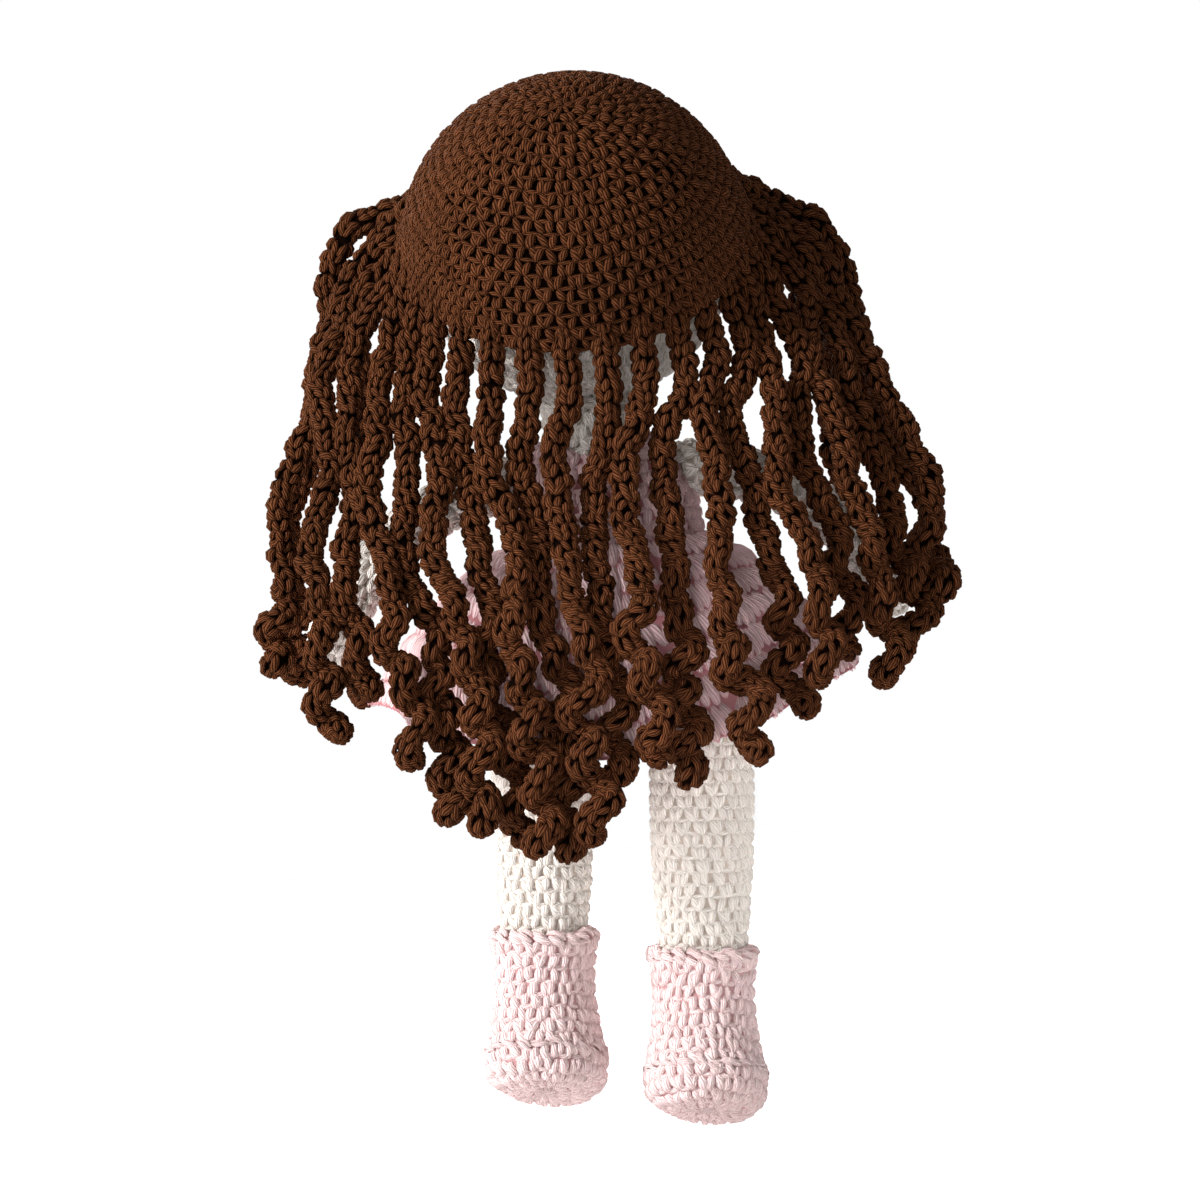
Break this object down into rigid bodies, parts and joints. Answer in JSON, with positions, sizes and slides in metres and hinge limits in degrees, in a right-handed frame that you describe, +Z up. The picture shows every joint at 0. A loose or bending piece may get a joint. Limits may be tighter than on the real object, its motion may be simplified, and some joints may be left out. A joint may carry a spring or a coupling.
{
  "type": "crocheted doll",
  "caption": "Crocheted doll: stuffed head, body and limbs, a hair cap with long curling strands, domed eyes, a flared sleeveless dress and ankle boots; the head, arms and legs turn.",
  "frame": {"origin": "middle of the waist, on the body's axis, where a hand holds the doll", "axes": "+Z up along the body to the head, the face looks along -Y, the doll's left side is at +X"},
  "size_m": [0.2446, 0.149, 0.3722],
  "materials": {
    "cream_yarn": "single crochet in cream yarn",
    "brown_yarn": "crochet in dark brown yarn",
    "pink_yarn": "shell stitches in pale pink yarn",
    "boot_yarn": "single crochet in pale pink yarn",
    "fibre_stuffing": "loose polyester fibre",
    "eye_black": "polished",
    "washer_white": "as moulded"
  },
  "bodies": {
    "torso": {"body": "cream_yarn", "body_stuffing": "fibre_stuffing", "dress": "pink_yarn"},
    "head": {"head": "cream_yarn", "head_stuffing": "fibre_stuffing", "hair_cap": "brown_yarn", "hair_strand_01": "brown_yarn", "hair_strand_02": "brown_yarn", "hair_strand_03": "brown_yarn", "hair_strand_04": "brown_yarn", "hair_strand_05": "brown_yarn", "hair_strand_06": "brown_yarn", "hair_strand_07": "brown_yarn", "hair_strand_08": "brown_yarn", "hair_strand_09": "brown_yarn", "hair_strand_10": "brown_yarn", "hair_strand_11": "brown_yarn", "hair_strand_12": "brown_yarn", "hair_strand_13": "brown_yarn", "hair_strand_14": "brown_yarn", "hair_strand_15": "brown_yarn", "hair_strand_16": "brown_yarn", "hair_strand_17": "brown_yarn", "hair_strand_18": "brown_yarn", "hair_strand_19": "brown_yarn", "hair_strand_20": "brown_yarn", "hair_strand_21": "brown_yarn", "hair_strand_22": "brown_yarn", "hair_strand_23": "brown_yarn", "hair_strand_24": "brown_yarn", "eye_left": "eye_black", "eye_right": "eye_black", "eye_washer_left": "washer_white", "eye_washer_right": "washer_white"},
    "arm_left": {"arm_left": "cream_yarn", "arm_stuffing_left": "fibre_stuffing"},
    "leg_left": {"leg_left": "cream_yarn", "leg_stuffing_left": "fibre_stuffing", "boot_left": "boot_yarn"},
    "arm_right": {"arm_right": "cream_yarn", "arm_stuffing_right": "fibre_stuffing"},
    "leg_right": {"leg_right": "cream_yarn", "leg_stuffing_right": "fibre_stuffing", "boot_right": "boot_yarn"}
  },
  "joints": [
    {"name": "neck_turn", "type": "hinge", "parent": "torso", "child": "head", "pos_m": [0, 0, 0.0618], "axis": [0, 0, 1], "range_deg": [-40, 40], "deforming": ["hair_strand_01", "hair_strand_02", "hair_strand_03", "hair_strand_04", "hair_strand_05", "hair_strand_06", "hair_strand_07", "hair_strand_08", "hair_strand_09", "hair_strand_10", "hair_strand_11", "hair_strand_12", "hair_strand_13", "hair_strand_14", "hair_strand_15", "hair_strand_16", "hair_strand_17", "hair_strand_18", "hair_strand_19", "hair_strand_20", "hair_strand_21", "hair_strand_22", "hair_strand_23", "hair_strand_24"]},
    {"name": "shoulder_left_lift", "type": "hinge", "parent": "torso", "child": "arm_left", "pos_m": [0.032, 0, 0.0355], "axis": [0, -1, 0], "range_deg": [-5, 45]},
    {"name": "shoulder_right_lift", "type": "hinge", "parent": "torso", "child": "arm_right", "pos_m": [-0.032, 0, 0.0355], "axis": [0, 1, 0], "range_deg": [-5, 45]},
    {"name": "hip_left_swing", "type": "hinge", "parent": "torso", "child": "leg_left", "pos_m": [0.02758, 0, -0.04414], "axis": [-1, 0, 0], "range_deg": [-25, 45]},
    {"name": "hip_right_swing", "type": "hinge", "parent": "torso", "child": "leg_right", "pos_m": [-0.02758, 0, -0.05586], "axis": [-1, 0, 0], "range_deg": [-25, 45]}
  ]
}
